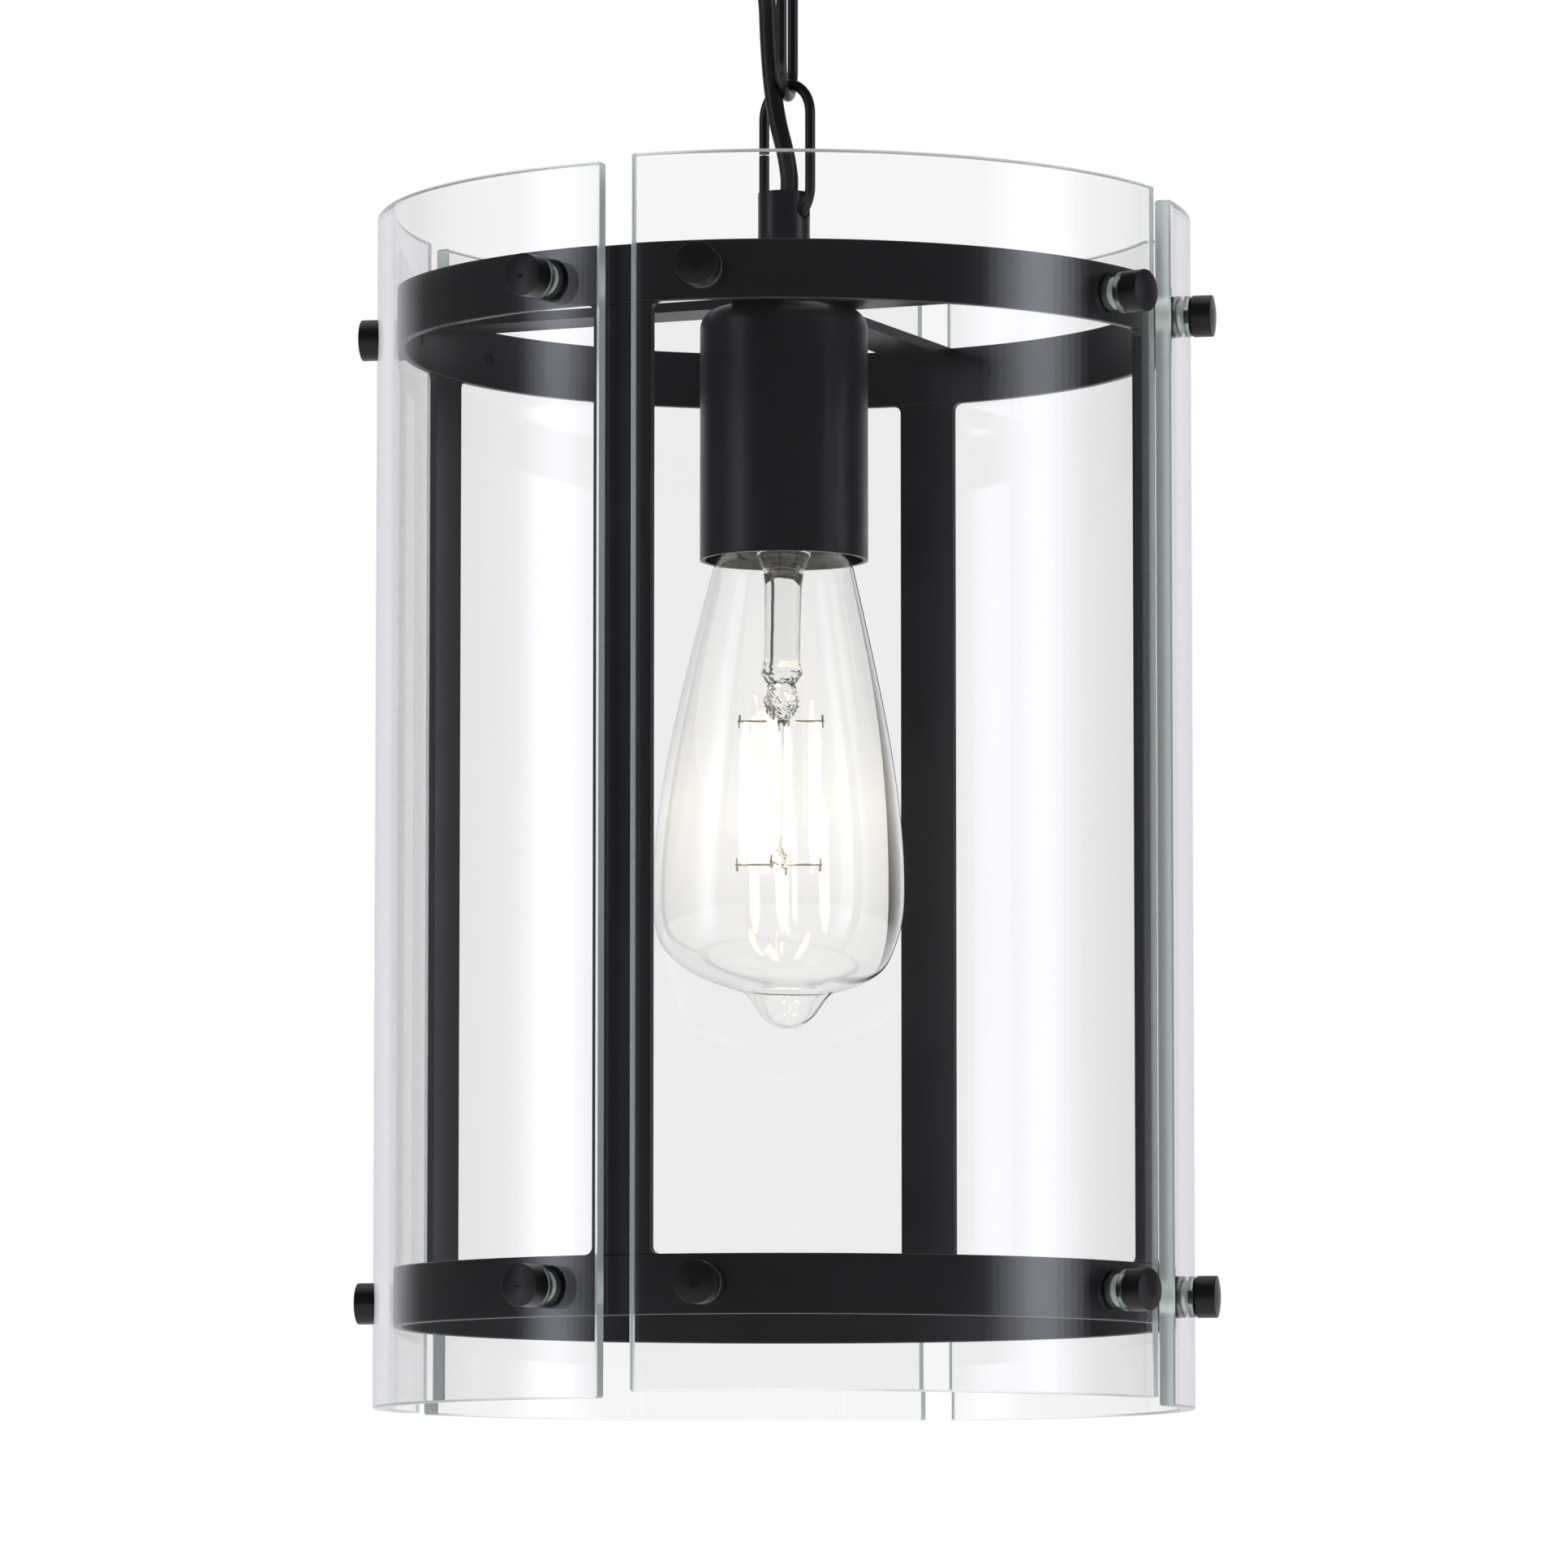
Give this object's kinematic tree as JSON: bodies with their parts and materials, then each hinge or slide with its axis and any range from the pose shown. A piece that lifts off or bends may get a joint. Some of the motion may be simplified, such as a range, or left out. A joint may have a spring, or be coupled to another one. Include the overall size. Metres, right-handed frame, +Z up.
{
  "type": "hanging lantern",
  "caption": "Round hanging lantern: bent clear glass panes bolted clear of a black steel strip cage, one pear lamp in a central holder, hung from a ceiling rose by two links with a free flex.",
  "frame": {"origin": "centre of the ceiling plane, where the bracket's flat top meets the ceiling", "axes": "+Z up into the ceiling and along the lantern's axis; -Y is the front, the side seen with a gap between two panes; +X is to the viewer's right"},
  "size_m": [0.2112, 0.2112, 0.399],
  "materials": {
    "black_steel": "satin black powder coat",
    "zinc": "zinc plated",
    "brass": "satin",
    "nylon": "matte",
    "black_flex": "satin",
    "holder_moulding": "matte",
    "lamp_envelope": "clear",
    "lamp_foot": "clear",
    "lamp_metal": "bright",
    "lamp_black_glass": "glossy",
    "filament": "lit",
    "panel_glass": "clear, ground edges",
    "black_knob": "satin black",
    "steel_stud": "zinc plated",
    "clear_silicone": "translucent",
    "black_rubber": "matte"
  },
  "bodies": {
    "ceiling_rose": {"ceiling_bracket": "black_steel", "rose_cover": "black_steel", "rose_nipple": "zinc", "nipple_locknut": "zinc", "loop_collar": "black_steel", "hanging_loop": "black_steel", "rose_cord_grip": "nylon", "terminal_block": "nylon", "earth_screw": "brass", "flex_upper": "black_flex"},
    "upper_link": {"chain_link_upper": "black_steel", "flex_middle": "black_flex"},
    "lower_link": {"chain_link_lower": "black_steel"},
    "lantern": {"stem_tube": "black_steel", "top_cross": "black_steel", "upper_ring": "black_steel", "lower_ring": "black_steel", "holder_cup": "black_steel", "post_front": "black_steel", "post_right": "black_steel", "post_back": "black_steel", "post_left": "black_steel", "stem_nipple": "zinc", "stem_locknut": "zinc", "holder_screw_shell": "brass", "holder_centre_contact": "brass", "flex_lower": "black_flex", "holder_body": "holder_moulding", "glass_panel_front": "panel_glass", "knobs_front": "black_knob", "studs_front": "steel_stud", "bushes_front": "clear_silicone", "washers_front": "black_rubber", "glass_panel_right": "panel_glass", "knobs_right": "black_knob", "studs_right": "steel_stud", "bushes_right": "clear_silicone", "washers_right": "black_rubber", "glass_panel_back": "panel_glass", "knobs_back": "black_knob", "studs_back": "steel_stud", "bushes_back": "clear_silicone", "washers_back": "black_rubber", "glass_panel_left": "panel_glass", "knobs_left": "black_knob", "studs_left": "steel_stud", "bushes_left": "clear_silicone", "washers_left": "black_rubber"},
    "lamp_carrier": {"lamp_contact": "lamp_metal"},
    "lamp": {"lamp_glass": "lamp_envelope", "lamp_cap": "lamp_metal", "lamp_insulator": "lamp_black_glass", "lamp_stem": "lamp_foot", "lamp_filaments": "filament", "lamp_wires": "lamp_metal"}
  },
  "joints": [
    {"name": "upper_link_swing", "type": "hinge", "parent": "ceiling_rose", "child": "upper_link", "pos_m": [0, 0, -0.04386], "axis": [0.9848, -0.1736, 0], "range_deg": [-15, 15], "deforming": ["flex_upper"]},
    {"name": "lower_link_swing", "type": "hinge", "parent": "upper_link", "child": "lower_link", "pos_m": [0.00078, 0.00078, -0.0754], "axis": [0.1736, 0.9848, 0], "range_deg": [-15, 15], "deforming": ["flex_middle"]},
    {"name": "lantern_swing", "type": "hinge", "parent": "lower_link", "child": "lantern", "pos_m": [0.00078, 0.00078, -0.1041], "axis": [0.7071, -0.7071, 0], "range_deg": [-12, 12], "deforming": ["flex_lower"]},
    {"name": "lamp_travel", "type": "slide", "parent": "lantern", "child": "lamp_carrier", "axis": [0, 0, -1], "range_m": [0, 0.01089]},
    {"name": "lamp_turn", "type": "hinge", "parent": "lamp_carrier", "child": "lamp", "pos_m": [0, 0, -0.2342], "axis": [0, 0, -1], "range_deg": [0, 1080]}
  ],
  "couplings": [
    {"joint": "lamp_turn", "follows": "lamp_travel", "rad_per_m": 1730.1}
  ]
}
